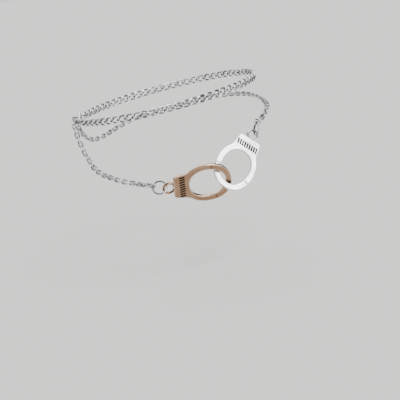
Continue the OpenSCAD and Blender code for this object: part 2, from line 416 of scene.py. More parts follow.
@dataclass(frozen=True)
class SilverFinish:
    """Polished silver plate with tarnish and painted shade in its hollows, a painted highlight on its rims,
    and fine scratches.

    Attributes:
        metal: The record's slot that it stands for.
        low: Colour of the metal where it is dull.
        high: Colour of the metal where it is rubbed bright, and of the painted highlight on its rims.
        tarnish_and_shade: Colour of the film in hollows, which is partly tarnish and partly painted shade.
        tarnish_and_shade_share: Most of the film that a hollow has.
        patch_share: Most of the wear that a patch on a face has.
        patch_size: Number of patches of wear to the metre.
        patch_edge: Noise at which a patch begins, and at which it is full.
        tone_share: Wear that the tone of a link adds.
        film_speck_size: Number of specks of the film, of tarnish and painted shade, to a patch.
        film_edge: Noise in a hollow at which its film of tarnish and painted shade begins, and at which it
            is full.
        engraved: Colour of the strokes.
        roughness: Least and most roughness.
        film_rough: What film adds to the scratches' sum.
        stroke_rough: What strokes add to it.
        rough_edge: Sum that has the least roughness, and that has the most.
        scratch_size: Number of scratches to the metre.
        scratch_turn: Turns of the scratches' direction, in radians.
        scratch_stretch: Scale of their noise, least along them.
        bump: Depth of the scratches and dents in metres.
        bump_strength: Share of it that is seen.
        dent_share: Depth of a patch in scratches.
    """

    metal: Metal
    low: Colour
    high: Colour
    # Colour and share of the film in hollows: partly tarnish, partly painted shade.
    tarnish_and_shade: Colour
    tarnish_and_shade_share: float = 0.92
    patch_share: float = 0.6
    patch_size: float = 260.0
    patch_edge: tuple[float, float] = (0.38, 0.62)
    tone_share: float = 0.25
    # Share of the bright colour that the mark "rim" adds along edges: a painted highlight.
    rim_highlight_share: float = 0.5
    film_speck_size: float = 4.0
    film_edge: tuple[float, float] = (0.03, 0.15)
    engraved: Colour = (0.012, 0.011, 0.012)
    roughness: tuple[float, float] = (0.12, 0.32)
    film_rough: float = 0.5
    stroke_rough: float = 0.6
    rough_edge: tuple[float, float] = (0.25, 1.0)
    scratch_size: float = 3200.0
    scratch_turn: tuple[float, float, float] = (0.4, 0.7, 0.5)
    scratch_stretch: tuple[float, float, float] = (0.12, 1.0, 1.0)
    bump: float = 0.00004
    bump_strength: float = 0.35
    dent_share: float = 2.0

    def material(self) -> bpy.types.Material:
        """Builds the finish as a material.

        Wear mixes the two colours by soft noise and the link's own tone, and the mark "rim" lifts them
        towards the bright one as a painted highlight along edges. A film that is partly tarnish and partly
        painted shade is laid over by the mark "hollow", broken up by noise, and black fills the mark
        "engraved".

        Returns:
            The material.
        """
        material = bpy.data.materials.new(self.metal.value)
        material.use_nodes = True
        tree = material.node_tree
        tree.nodes.clear()
        shader = tree.nodes.new("ShaderNodeBsdfPrincipled")
        shader.inputs["Metallic"].default_value = 1.0
        output = tree.nodes.new("ShaderNodeOutputMaterial")
        tree.links.new(shader.outputs["BSDF"], output.inputs["Surface"])
        where = tree.nodes.new("ShaderNodeTexCoord").outputs["Object"]
        nodes = Nodes(tree)

        patches = nodes.noise(where, self.patch_size, detail=4.0)
        wear_and_highlight = nodes.spread(patches, self.patch_edge, (0.0, self.patch_share))
        wear_and_highlight = nodes.numbers("MULTIPLY_ADD", nodes.mark("tone"), self.tone_share, wear_and_highlight)
        # The mark "rim" lifts the colour towards the bright one along edges: a painted highlight.
        wear_and_highlight = nodes.numbers("MULTIPLY_ADD", nodes.mark("rim"), self.rim_highlight_share, wear_and_highlight)
        metal = nodes.mix(nodes.spread(wear_and_highlight, (0.0, 1.0)), self.low, self.high)

        # Painted shade with tarnish: the mark "hollow", broken up by specks, lays a dark film over the
        # metal.
        film_specks = nodes.noise(where, self.patch_size * self.film_speck_size, detail=3.0)
        tarnish_and_shade_film = nodes.numbers("MULTIPLY", nodes.mark("hollow"), film_specks)
        tarnish_and_shade_film = nodes.spread(tarnish_and_shade_film, self.film_edge, (0.0, self.tarnish_and_shade_share))
        tarnished_and_shaded = nodes.mix(tarnish_and_shade_film, metal, self.tarnish_and_shade)
        engraved = nodes.mark("engraved")
        nodes.feed(shader.inputs["Base Color"], nodes.mix(engraved, tarnished_and_shaded, self.engraved))

        scratches = self.scratches(nodes, where)
        rough = nodes.numbers("MULTIPLY_ADD", tarnish_and_shade_film, self.film_rough, scratches)
        rough = nodes.numbers("MULTIPLY_ADD", engraved, self.stroke_rough, rough)
        nodes.feed(shader.inputs["Roughness"], nodes.spread(rough, self.rough_edge, self.roughness))

        bump = tree.nodes.new("ShaderNodeBump")
        bump.inputs["Strength"].default_value = self.bump_strength
        bump.inputs["Distance"].default_value = self.bump
        height = nodes.numbers("MULTIPLY_ADD", patches, self.dent_share, scratches)
        nodes.feed(bump.inputs["Height"], height)
        nodes.feed(shader.inputs["Normal"], bump.outputs["Normal"])
        return material

    def scratches(self, nodes: Nodes, where: Socket) -> Socket:
        """Noise that is drawn out in one slanted direction, as fine scratches are.

        Args:
            nodes: The material's nodes.
            where: The coordinates that it reads.

        Returns:
            The scratches as a number from 0 to 1.
        """
        stretch = nodes.tree.nodes.new("ShaderNodeMapping")
        stretch.inputs["Rotation"].default_value = self.scratch_turn
        stretch.inputs["Scale"].default_value = self.scratch_stretch
        nodes.feed(stretch.inputs["Vector"], where)
        return nodes.noise(stretch.outputs["Vector"], self.scratch_size, detail=2.0)


@dataclass(frozen=True)
class FloorFinish:
    """Plain pale matt floor."""

    colour: Colour = (0.78, 0.765, 0.745)
    roughness: float = 0.85
    shine: float = 0.2

    def material(self) -> bpy.types.Material:
        """Builds the finish as a material.

        Returns:
            The material.
        """
        material = bpy.data.materials.new("pale_floor")
        material.use_nodes = True
        shader = material.node_tree.nodes["Principled BSDF"]
        shader.inputs["Base Color"].default_value = (*self.colour, 1.0)
        shader.inputs["Roughness"].default_value = self.roughness
        shader.inputs["Specular IOR Level"].default_value = self.shine
        return material


@dataclass
class Workbench:
    """Puts surfaces into Blender as finished pieces.

    Attributes:
        sharp_turn: Turn between two faces above which their edge stays crisp.
    """

    finishes: dict[Metal, SilverFinish]
    sharp_turn: float = 38.0
    made: dict[Metal, bpy.types.Material] = field(default_factory=dict)

    def material(self, metal: Metal) -> bpy.types.Material:
        """The material of a metal, built once.

        Args:
            metal: The metal.

        Returns:
            The material.
        """
        if metal not in self.made:
            self.made[metal] = self.finishes[metal].material()
        return self.made[metal]

    def put_in(self, node: str, surface: Surface, metal: Metal) -> None:
        """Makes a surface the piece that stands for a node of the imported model.

        Args:
            node: The node's name.
            surface: The surface, in millimetres.
            metal: What it is finished in.
        """
        name = node + "_dressed"
        mesh = bpy.data.meshes.new(name)
        mesh.vertices.add(len(surface.places))
        mesh.vertices.foreach_set("co", (surface.places * MM).astype(np.float32).ravel())
        corners = np.concatenate([surface.quads.ravel(), surface.tris.ravel()])
        quads, tris = len(surface.quads), len(surface.tris)
        starts = np.concatenate([np.arange(quads) * 4, quads * 4 + np.arange(tris) * 3])
        mesh.loops.add(len(corners))
        mesh.loops.foreach_set("vertex_index", corners.astype(np.int32))
        mesh.polygons.add(len(starts))
        mesh.polygons.foreach_set("loop_start", starts.astype(np.int32))
        mesh.polygons.foreach_set("use_smooth", np.ones(len(starts), bool))
        for mark, value in surface.marks.items():
            layer = mesh.attributes.new(mark, "FLOAT", "POINT")
            layer.data.foreach_set("value", value.astype(np.float32))
        mesh.update(calc_edges=True)
        mesh.validate()
        mesh.set_sharp_from_angle(angle=math.radians(self.sharp_turn))
        mesh.materials.append(self.material(metal))
        piece = bpy.data.objects.new(name, mesh)
        bpy.context.scene.collection.objects.link(piece)
        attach(piece, "root")
        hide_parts(node)
        log.info("%s: %d vertices, %d faces", name, len(surface.places), len(starts))


# Where the strands lie


@dataclass(frozen=True)
class Ankle:
    """The oval that the strands lie on, to the middle of a chain.

    Attributes:
        half_w: Half width at the upper strand.
        half_d: Half depth there.
        widening: What the half width gains for each unit down.
        deepening: What the half depth gains.
        flare: What the half width gains more for each squared unit below the flare.
        flare_z: Height at which that begins.
    """

    half_w: float = 34.4
    half_d: float = 31.3
    widening: float = 0.06
    deepening: float = 0.09
    flare: float = 0.006
    flare_z: float = -10.0

    def wide(self, z: Array) -> Array:
        """Half width at a height."""
        return self.half_w - self.widening * z + self.flare * np.maximum(0.0, self.flare_z - z) ** 2

    def deep(self, z: Array) -> Array:
        """Half depth at a height."""
        return self.half_d - self.deepening * z

    def places(self, rows: Array) -> Array:
        """Places on the ankle.

        Args:
            rows: Rows of turn, height and stand-off.

        Returns:
            The places: each half size plus the stand-off, times cos or sin of the turn.
        """
        turn, z, off = np.radians(rows[:, 0]), rows[:, 1], rows[:, 2]
        x = (self.wide(z) + off) * np.cos(turn)
        y = (self.deep(z) + off) * np.sin(turn)
        return np.stack([x, y, z], axis=1)

    def row(self, place: Array) -> Array:
        """The row of turn, height and stand-off of one place.

        Args:
            place: The place.

        Returns:
            The row.
        """
        x, y, z = place
        wide, deep = self.wide(z), self.deep(z)
        turn = math.atan2(y / deep, x / wide)
        off = math.hypot(x, y) - math.hypot(wide * math.cos(turn), deep * math.sin(turn))
        return np.array([math.degrees(turn), z, off])

    def flat_normal(self, place: Array) -> Array:
        """Outward normal of the upper oval at places, level: x and y over the squared half sizes."""
        return place * np.array([self.half_w**-2, self.half_d**-2, 0.0])

    def outward(self, place: Array, along: Array) -> Array:
        """Outward normal at places, square to the directions there."""
        normal = self.flat_normal(place)
        return unit(normal - along * dot(normal, along))


@dataclass
class Route:
    """A line of points that is read by the length run along it.

    Attributes:
        reach: How far to each side a direction is taken.
    """

    points: Array
    reach: float = 0.9

    def __post_init__(self) -> None:
        """Sums the steps between the points."""
        steps = np.linalg.norm(np.diff(self.points, axis=0), axis=1)
        self.runs = np.concatenate([[0.0], np.cumsum(steps)])
        self.length = float(self.runs[-1])

    def at(self, s: Array) -> Array:
        """Places at lengths along the route, on straight lines between its points."""
        return np.stack([np.interp(s, self.runs, self.points[:, i]) for i in range(3)], axis=-1)

    def direction(self, s: Array) -> Array:
        """Directions at lengths along the route."""
        return unit(self.at(s + self.reach) - self.at(s - self.reach))


# Rings


@dataclass(frozen=True)
class HungRing:
    """A wire ring that hangs at the front: its middle, and its spin, tilt and yaw."""

    node: str
    middle: Place
    turns: tuple[float, float, float]
    outer_d: float = 5.7
    thickness: float = 0.66

    def surface(self) -> Surface:
        """The ring in its place."""
        ring = round_ring(self.outer_d, self.thickness)
        return ring.carried(np.array([self.middle]), hung_axes(self.turns)[None])

    def normal(self) -> Array:
        """The ring's own axis."""
        return hung_axes(self.turns)[:, 2]

    def build(self, bench: Workbench) -> None:
        """Puts the ring in."""
        bench.put_in(self.node, self.surface(), Metal.BRIGHT)


@dataclass(frozen=True)
class ClaspRing:
    """A level wire ring at one end of the upper strand, where the clasp and the lower strand hang.

    Attributes:
        lift: How far its middle stands off the ankle's oval.
    """

    node: str
    turn: float
    ankle: Ankle
    lift: float = 1.0
    outer_d: float = 6.0
    thickness: float = 0.7

    @property
    def radius(self) -> float:
        """Radius to the middle of the wire."""
        return (self.outer_d - self.thickness) / 2.0

    def middle(self) -> Array:
        """The ring's middle."""
        return self.ankle.places(np.array([[self.turn, 0.0, self.lift]]))[0]

    def outer_place(self) -> Array:
        """The place on its wire that is furthest from the ankle."""
        middle = self.middle()
        return middle + self.radius * unit(self.ankle.flat_normal(middle))

    def outer_wire(self) -> Array:
        """Direction of its wire there."""
        return np.cross(UP, unit(self.outer_place() - self.middle()))

    def build(self, bench: Workbench) -> None:
        """Puts the ring in."""
        ring = round_ring(self.outer_d, self.thickness)
        bench.put_in(self.node, ring.carried(self.middle()[None], np.eye(3)[None]), Metal.BRIGHT)


# Strands


@dataclass(frozen=True)
class CurbStrand:
    """Upper strand: twisted oval links, cut flat, from the left ring round the front to the back one.

    Attributes:
        pitch: Distance between links that is aimed at.
        twist: How far a link's middle line leaves its plane.
        flat: Thickness of a link over its two cut sides.
        rim: Share of half that thickness at which a cut side's rim begins.
        join_gap: Room between the end links and the rings.
        lift_turn: Turn over which the strand comes down to the ankle from a ring.
        turn_step: Turn between the points of its route.
    """

    ankle: Ankle
    left: ClaspRing
    back: ClaspRing
    pitch: float = 3.0
    width: float = 3.0
    thickness: float = 0.72
    link_len: float = 4.92
    twist: float = 0.46
    flat: float = 1.3
    rim: float = 0.75
    join_gap: float = 0.28
    lift_turn: float = 28.0
    turn_step: float = 0.75

    @property
    def half_len(self) -> float:
        """Half length of a link, to the middle of its wire."""
        return (self.link_len - self.thickness) / 2.0

    def route(self) -> Route:
        """The strand's line, which comes down to the ankle beside each ring.

        Returns:
            The route.
        """
        turn = np.arange(self.left.turn, self.back.turn + 0.1, self.turn_step)
        near = np.minimum(abs(turn - self.left.turn), abs(turn - self.back.turn))
        lift = self.left.lift * np.maximum(0.0, 1.0 - near / self.lift_turn) ** 2
        return Route(self.ankle.places(np.stack([turn, 0.0 * turn, lift], axis=1)))

    def link(self) -> Surface:
        """One link.

        The wire's middle is at (A cos t, B sin t, -C sin 2t), an oval that is twisted out of its
        plane, and what stands out beyond the flat on either side is cut off.

        Returns:
            The closed surface.
        """
        steps, sides = 52, 22
        a, b = self.half_len, (self.width - self.thickness) / 2.0
        t = around(steps)
        line = np.stack([a * np.cos(t), b * np.sin(t), -self.twist * np.sin(2 * t)], axis=1)
        slope = [-a * np.sin(t), b * np.cos(t), -2 * self.twist * np.cos(2 * t)]
        along = unit(np.stack(slope, axis=1))
        link = wire(line, along, np.cross(along, UP), self.thickness / 2.0, sides)
        half = self.flat / 2.0
        z = link.places[:, 2]
        # The mark "rim" covers the cut flats and their edges, brightened as a painted highlight, and keeps
        # the film of the mark "hollow" off them.
        link.marks["rim"] = smooth_step((abs(z) - self.rim * half) / ((1.0 - self.rim) * half))
        link.marks["hollow"] = link.marks["hollow"] * (1.0 - link.marks["rim"])
        link.places[:, 2] = np.clip(z, -half, half)
        return link

    def build(self, bench: Workbench) -> None:
        """Puts the strand in: each link's long side lies along the route, and its flat faces out.

        Args:
            bench: The workbench.
        """
        route = self.route()
        wires = (self.thickness + self.left.thickness) / 2.0
        hook = self.left.radius + self.half_len - wires - self.join_gap
        run = route.length - 2.0 * hook
        count = round(run / self.pitch) + 1
        s = hook + run * np.arange(count) / (count - 1)
        place, along = route.at(s), route.direction(s)
        out = self.ankle.outward(place, along)
        axes = np.stack([along, np.cross(out, along), out], axis=2)
        bench.put_in("curb_chain", self.link().carried(place, axes), Metal.BRIGHT)


@dataclass(frozen=True)
class CableStrand:
    """One side of the lower strand: oval links, each turned from the last, and a round one.

    Attributes:
        join: The ring at the clasp that it hangs on.
        end: The round link at its charm end.
        rows: Its route, as rows of turn, height and stand-off, between those two.
        from_join: Whether the route starts at the clasp.
        link_turn: Turn from each link to the next.
        pitch: Distance between links that is aimed at.
        wire_gap: Room between the last link and the ring at the clasp.
        end_gap: Room between the last link and the round one.
        twist_links: Number of links over which the strand's last twist is spread.
        row_steps: Number of the route's points to a row.
    """

    node: str
    ankle: Ankle
    join: ClaspRing
    end: HungRing
    rows: tuple[tuple[float, float, float], ...]
    from_join: bool
    link_turn: float
    pitch: float = 1.82
    thickness: float = 0.58
    width: float = 2.1
    straight: float = 1.08
    wire_gap: float = 0.12
    end_gap: float = 0.04
    twist_links: int = 5
    row_steps: int = 12

    @property
    def bend(self) -> float:
        """Radius of a link's round end, to the middle of its wire."""
        return (self.width - self.thickness) / 2.0

    def route(self) -> Route:
        """The strand's line, on a smooth curve through its rows.

        Returns:
            The route.
        """
        join = self.ankle.row(self.join.outer_place())
        end = self.ankle.row(np.array(self.end.middle))
        ends = (join, end) if self.from_join else (end, join)
        rows = np.vstack([ends[0], np.array(self.rows), ends[1]])
        at = np.arange((len(rows) - 1) * self.row_steps + 1) / self.row_steps
        return Route(self.ankle.places(through(rows, at)))

    def link(self) -> Surface:
        """One link, long in X.

        Its middle line is two half circles and two straight sides: a circle of the bend's radius
        with each half moved out by half the straight, and points spread evenly over its length.

        Returns:
            The closed surface.
        """
        steps, sides = 40, 14
        straight, r = self.straight, self.bend
        arc = math.pi * r
        s = (np.arange(steps) + 0.5) / steps * 2.0 * (arc + straight)
        stops = np.cumsum([arc / 2.0, straight, arc, straight])
        turned = np.clip(s, 0.0, stops[0]) + np.clip(s - stops[1], 0.0, arc) + np.maximum(s - stops[3], 0.0)
        slid = np.clip(s - stops[0], 0.0, straight) - np.clip(s - stops[2], 0.0, straight)
        out = on_circle(turned / r)
        line = r * out + np.stack([straight / 2.0 - slid, 0.0 * s, 0.0 * s], axis=1)
        return wire(line, np.cross(UP, out), out, self.thickness / 2.0, sides)

    def wire_angle(self, route: Route, s: float, held: Array) -> float:
        """Turn of a link about the strand, from outward, that lets a wire through it.

        Args:
            route: The strand's line.
            s: The link's length along it.
            held: Direction of the wire.

        Returns:
            The turn.
        """
        place, along = route.at(np.array([s])), route.direction(np.array([s]))
        out = self.ankle.outward(place, along)
        across = np.cross(out, along)
        return math.degrees(math.atan2(float(dot(across, held)[0, 0]), float(dot(out, held)[0, 0])))

    def build(self, bench: Workbench) -> None:
        """Puts the strand in.

        Each link is about a quarter turn from the last, and over the last few links the strand
        twists a little more, so that the end link's hole meets the wire that it holds.

        Args:
            bench: The workbench.
        """
        route = self.route()
        half_len = self.straight / 2.0 + self.bend
        join_hook = half_len - (self.thickness + self.join.thickness) / 2.0 - self.wire_gap
        end_r = (self.end.outer_d - self.end.thickness) / 2.0
        end_hook = half_len + end_r - (self.thickness + self.end.thickness) / 2.0 - self.end_gap
        first, last = (join_hook, end_hook) if self.from_join else (end_hook, join_hook)
        run = route.length - last - first
        count = round(run / self.pitch) + 1
        index = np.arange(count)
        s = first + run * index / (count - 1)
        at_end = s[-1] if self.from_join else s[0]
        end_wire = np.cross(route.direction(np.array([at_end]))[0], self.end.normal())
        held = [self.join.outer_wire(), end_wire]
        held = held if self.from_join else held[::-1]
        start = self.wire_angle(route, s[0], held[0])
        twist = self.wire_angle(route, s[-1], held[1]) - start - self.link_turn * (count - 1)
        twist -= 180.0 * math.floor(twist / 180.0 + 0.5)
        plain = count - 1 - self.twist_links if self.from_join else 0
        share = np.clip((index - plain) / self.twist_links, 0.0, 1.0)
        turn = np.radians(start + self.link_turn * index + twist * share)[:, None]
        place, along = route.at(s), route.direction(s)
        out = self.ankle.outward(place, along)
        hole = out * np.cos(turn) + np.cross(out, along) * np.sin(turn)
        axes = np.stack([along, np.cross(hole, along), hole], axis=2)
        links = self.link().carried(place, axes)
        bench.put_in(self.node, Surface.joined([links, self.end.surface()]), Metal.BRIGHT)


# Charms


@dataclass(frozen=True)
class CuffCharm:
    """A cast cuff: an oval ring that widens into a plate, with a loop on the plate's edge.

    It is drawn in the XY plane with the loop towards -X, and then hung.

    Attributes:
        middle: Where the ring's middle goes.
        turns: Its spin, tilt and yaw.
        lines: Turns of the engraved lines across its ring, on the +Y and the -Y side.
        inner_r: Half width of the ring's hole.
        stretch: How much longer than wide the hole is.
        fullness: Power of the ring's oval, 2 for an ellipse.
        plate_w: Width of the plate's outer edge.
        plate_reach: Distance of that edge from the middle.
        shoulder: From corner to ring, x and how far the side stands out beyond the corner.
        loop_sink: How far the loop is sunk into the plate, in thicknesses of its wire.
        stroke_soft: Width over which a stroke's wall falls.
        line_soft: Width over which the wall of a line across the ring falls.
        line_rise: How far from the middle such a line is at its full depth.
        line_depth: Its depth as a share of a stroke's.
        engraving: Depth of a stroke.
        blackness: A stroke is all black at one over this of its depth.
        dullness: The mark "hollow" on the flat of the front.
    """

    node: str
    metal: Metal
    middle: Place
    turns: tuple[float, float, float]
    lines: tuple[float, float]
    inner_r: float = 5.4
    band: float = 2.1
    stretch: float = 2.4
    fullness: float = 2.2
    thickness: float = 1.5
    plate_w: float = 8.7
    plate_reach: float = 12.4
    corner: float = 1.1
    shoulder: tuple[tuple[float, float], ...] = ((-9.4, 0.27), (-7.7, 0.57), (-6.6, 0.99), (-5.7, 1.62))
    edge_r: float = 0.34
    loop_d: float = 4.8
    loop_wire: float = 0.85
    loop_sink: float = 0.9
    strokes: int = 9
    stroke_x: float = -9.2
    stroke_len: float = 2.0
    stroke_w: float = 0.52
    stroke_slant: float = 12.0
    stroke_step: float = 0.95
    stroke_soft: float = 0.14
    line_w: float = 0.24
    line_soft: float = 0.12
    line_rise: float = 0.5
    line_depth: float = 0.6
    engraving: float = 0.15
    blackness: float = 1.6
    dullness: float = 0.08

    def oval(self, turn: Array, radius: float) -> Array:
        """Distance from the middle to an oval, in a direction.

        The oval is a superellipse, (|x| / a)^n + (|y| / b)^n = 1, with b the radius and a longer by
        half the stretch. Its distance is (|cos / a|^n + |sin / b|^n)^(-1/n).

        Args:
            turn: The directions, in radians.
            radius: The oval's half width.

        Returns:
            The distances.
        """
        c, s = abs(np.cos(turn)) / (radius + self.stretch / 2.0), abs(np.sin(turn)) / radius
        return (c**self.fullness + s**self.fullness) ** (-1.0 / self.fullness)

    def outline(self, count: int) -> Array:
        """The charm's outer outline, as places spread by its length.

        From the middle of the plate's edge it goes along the edge, round the corner, up the hollow
        shoulder and round the ring, and its other half is the same mirrored.

        Args:
            count: Number of places.

        Returns:
            The places as rows of x and y.
        """
        at_edge, at_corner, at_side, at_ring = 8, 10, 40, 160
        reach, half, r = self.plate_reach, self.plate_w / 2.0, self.corner
        y = np.linspace(0.0, half - r, at_edge, endpoint=False)
        edge = np.stack([np.full(at_edge, -reach), y], axis=1)
        a = np.linspace(math.pi, math.pi / 2.0, at_corner)
        corner = [-reach + r, half - r] + r * on_circle(a)[:, :2]
        knots = np.vstack([[-reach + r, half], np.array(self.shoulder) + [0.0, half]])
        side = through(knots, np.linspace(0.0, len(knots) - 1.0, at_side)[1:])
        t = np.linspace(math.atan2(knots[-1, 1], knots[-1, 0]), 0.0, at_ring)
        ring = self.oval(t, self.inner_r + self.band)[:, None] * on_circle(t)[:, :2]
        upper = np.vstack([edge, corner, side, ring])
        whole = np.vstack([upper, upper[-2:0:-1] * [1.0, -1.0], upper[:1]])
        steps = np.concatenate([[0.0], np.cumsum(np.linalg.norm(np.diff(whole, axis=0), axis=1))])
        at = np.linspace(0.0, steps[-1], count, endpoint=False)
        return np.stack([np.interp(at, steps, whole[:, k]) for k in (0, 1)], axis=1)

    def engraved(self, x: Array, y: Array) -> Array:
        """How far places of the front are engraved, from 0 to 1.

        Each stroke is a slanted bar, and the two lines lie across the ring. A bar's edge is a smooth
        step over the distance from it.

        Args:
            x: The places' x.
            y: The places' y.

        Returns:
            The share of the full depth.
        """

        def bar(size: float, off: Array, soft: float) -> Array:
            """One within a bar of a size, none outside it."""
            return smooth_step((size / 2 - abs(off)) / soft + 0.5)

        slant = math.radians(self.stroke_slant)
        rows = (np.arange(self.strokes) - (self.strokes - 1) / 2.0) * self.stroke_step
        dx, dy = x[..., None] - self.stroke_x, y[..., None] - rows
        along = dx * math.cos(slant) + dy * math.sin(slant)
        across = dy * math.cos(slant) - dx * math.sin(slant)
        stroke = bar(self.stroke_len, along, self.stroke_soft) * bar(self.stroke_w, across, self.stroke_soft)
        turn = np.radians(np.where(y > 0.0, *self.lines))
        off = (x - self.stretch / 2.0) * np.sin(turn) - y * np.cos(turn)
        line = bar(self.line_w, off, self.line_soft) * smooth_step(x / self.line_rise)
        return np.maximum(stroke.max(axis=-1), self.line_depth * line)

    def casting(self) -> Surface:
        """Ring and plate as one closed surface.

        One parameter goes round the charm. The other goes across the front from the hole's wall to
        the outline, round the edge, back across the rear and round the hole's edge. Near an edge the
        height falls on a quarter circle, and the engraving is taken off the front.

        Returns:
            The closed surface.
        """
        count, face_steps, back_steps, edge_steps = 560, 44, 10, 6
        outline = self.outline(count)
        turn = np.arctan2(outline[:, 1], outline[:, 0])
        inner = self.oval(turn, self.inner_r)[:, None] * on_circle(turn)[:, :2]
        width = np.linalg.norm(outline - inner, axis=1)[:, None]
        r, flat = self.edge_r, self.thickness / 2.0
        a = np.linspace(0.0, math.pi / 2.0, edge_steps)
        bulge, fall = r * np.sin(a), flat - r * (1.0 - np.cos(a))
        out = np.concatenate([bulge[1:], bulge[:0:-1]])
        down = np.concatenate([fall[1:], -fall[:0:-1]])
        front, rear = np.linspace(0.0, 1.0, face_steps), np.linspace(1.0, 0.0, back_steps)
        inside = width - 2.0 * r
        reach = np.hstack([r + inside * front, width - r + out, r + inside * rear, r - out + 0.0 * width])
        height = np.concatenate([np.full(face_steps, flat), down, np.full(back_steps, -flat), -down])
        share = (reach / width)[:, :, None]
        xy = inner[:, None, :] * (1.0 - share) + outline[:, None, :] * share
        mark = self.engraved(xy[..., 0], xy[..., 1])
        mark[:, face_steps:] = 0.0
        height = height - self.engraving * mark
        # The mark "rim" brightens the charm along its edges: a painted highlight.
        rim = 1.0 - smooth_step(np.minimum(reach, width - reach) / (2.0 * r))
        places = np.concatenate([xy, height[:, :, None]], axis=2)
        marks = {
            "engraved": smooth_step(mark * self.blackness).ravel(),
            "rim": rim.ravel(),
            # On the front's flat the mark "hollow" is a faint film, kept off the edges.
            "hollow": (self.dullness * (1.0 - rim) * (height > 0)).ravel(),
        }
        faces = grid(count, places.shape[1])
        return Surface(places.reshape(-1, 3), faces, marks=marks).facing_out()

    def build(self, bench: Workbench) -> None:
        """Puts the charm in: casting and loop, hung in their place.

        Args:
            bench: The workbench.
        """
        loop = round_ring(self.loop_d, self.loop_wire, steps=72)
        x = -self.plate_reach - self.loop_d / 2.0 + self.loop_sink * self.loop_wire
        loop.places = loop.places + np.array([x, 0.0, 0.0])
        charm = Surface.joined([self.casting(), loop])
        axes = hung_axes(self.turns)[None]
        bench.put_in(self.node, charm.carried(np.array([self.middle]), axes), self.metal)


@dataclass(frozen=True)
class Clasp:
    """Hook clasp from the eye on the left ring to the hook on the back ring, in one piece.

    Attributes:
        left: The ring in its eye.
        back: The ring in its hook.
        eye: Radius of the eye's hole, width of its wall, and its thickness.
        hook: The same of the hook.
        neck: Half width and half thickness of the body at the eye.
        root: The same at the hook.
        belly: What the belly adds to them at its fullest.
        belly_at: Where that is, as a share of the body's length.
        belly_len: How long it is, as a share too.
        join_gap: Room between eye or hook and its ring.
        overlap: How far the body stays clear of the two holes.
    """

    left: ClaspRing
    back: ClaspRing
    eye: tuple[float, float, float] = (0.95, 0.8, 1.0)
    hook: tuple[float, float, float] = (1.6, 1.2, 1.4)
    neck: tuple[float, float] = (0.85, 0.45)
    root: tuple[float, float] = (1.4, 0.65)
    belly: tuple[float, float] = (0.75, 0.45)
    belly_at: float = 0.72
    belly_len: float = 0.2
    join_gap: float = 0.28
    overlap: float = 0.1

    @staticmethod
    def collar(hole_r: float, wall: float, t: float) -> Surface:
        """A flat ring with rounded edges about Z.

        Its section is a superellipse: half the wall times sign(cos) |cos|^p outwards, and half the
        thickness times sign(sin) |sin|^p up, with p its power.

        Args:
            hole_r: Radius of its hole.
            wall: Width of its wall.
            t: Its thickness.

        Returns:
            The closed surface.
        """
        steps, sides, power = 72, 20, 0.6
        a = around(sides)[None, :]
        turn = around(steps)[:, None]
        out = hole_r + wall / 2.0 * (1.0 + squared_off(np.cos(a), power))
        up = t / 2.0 * squared_off(np.sin(a), power)
        places = np.stack([out * np.cos(turn), out * np.sin(turn), up * np.ones_like(turn)], axis=2)
        # The side facing the hole gets the mark "hollow": partly tarnish, partly painted shade.
        hollow = np.broadcast_to(np.clip(-np.cos(a), 0.0, 1.0), (steps, sides)).ravel()
        return Surface(places.reshape(-1, 3), grid(steps, sides), marks={"hollow": hollow}).facing_out()

    def body(self, start: float, stop: float) -> Surface:
        """The clasp's shank and belly.

        At a share u of its length the section is a superellipse whose half sizes go evenly from
        those of the neck to those of the root, and swell in the belly by exp(-x^2), for x the
        distance from its fullest place over its length. Both fall to a small tip at the two ends, by
        the square root of 1 - |2u - 1|^n with n the bluntness, and a fan closes each tip.

        Args:
            start: Its end at the eye.
            stop: Its end at the hook.

        Returns:
            The closed surface.
        """
        steps, sides, power, tip, bluntness = 40, 32, 0.8, 0.02, 10
        u = np.linspace(0.0, 1.0, steps)[:, None]
        swell = np.exp(-(((u - self.belly_at) / self.belly_len) ** 2))
        half_w, half_t = (n + (r - n) * u + b * swell for n, r, b in zip(self.neck, self.root, self.belly))
        ends = np.sqrt(np.clip(1.0 - abs(2.0 * u - 1.0) ** bluntness, 0.0, 1.0)) * (1.0 - tip) + tip
        a = around(sides)[None, :]
        y = half_w * ends * squared_off(np.cos(a), power)
        z = half_t * ends * squared_off(np.sin(a), power)
        x = (start + (stop - start) * u) * np.ones_like(a)
        places = np.vstack([np.stack([x, y, z], axis=2).reshape(-1, 3), [[start, 0, 0], [stop, 0, 0]]])
        k = np.arange(sides)
        after = (k + 1) % sides
        tips, last = steps * sides, (steps - 1) * sides
        fans = [
            np.stack([np.full(sides, tips), k, after], axis=1),
            np.stack([np.full(sides, tips + 1), last + after, last + k], axis=1),
        ]
        faces = grid(steps, sides, close_rows=False)
        return Surface(places, faces, np.vstack(fans)[:, ::-1]).facing_out()

    def build(self, bench: Workbench) -> None:
        """Puts the clasp in, along the line from the left ring to the back one.

        Args:
            bench: The workbench.
        """
        start, end = self.left.middle(), self.back.middle()
        along = unit(end - start)
        out = unit((start + end) * np.array([1.0, 1.0, 0.0]))
        out = unit(out - along * np.dot(out, along))
        eye_r, hook_r = self.eye[0], self.hook[0]
        eye_wire = -(eye_r - self.left.thickness / 2.0 - self.join_gap)
        hook_wire = eye_wire + float(np.linalg.norm(end - start)) - 2.0 * self.left.radius
        hook_x = hook_wire + self.left.thickness / 2.0 + self.join_gap - hook_r
        hook = self.collar(*self.hook)
        hook.places = hook.places + np.array([hook_x, 0.0, 0.0])
        body = self.body(eye_r + self.overlap, hook_x - hook_r - self.overlap)
        place = start + along * (self.left.radius - eye_wire)
        axes = np.stack([along, np.cross(out, along), out], axis=1)
        whole = Surface.joined([self.collar(*self.eye), body, hook]).carried(place[None], axes[None])
        bench.put_in("clasp", whole, Metal.BRIGHT)


# Room


@dataclass(frozen=True)
class SoftArea:
    """A soft bright area of the room: its middle as a direction, its angles and its strength."""

    middle: Place
    inner: float
    outer: float
    strength: float
    colour: Colour = (1.0, 1.0, 1.0)


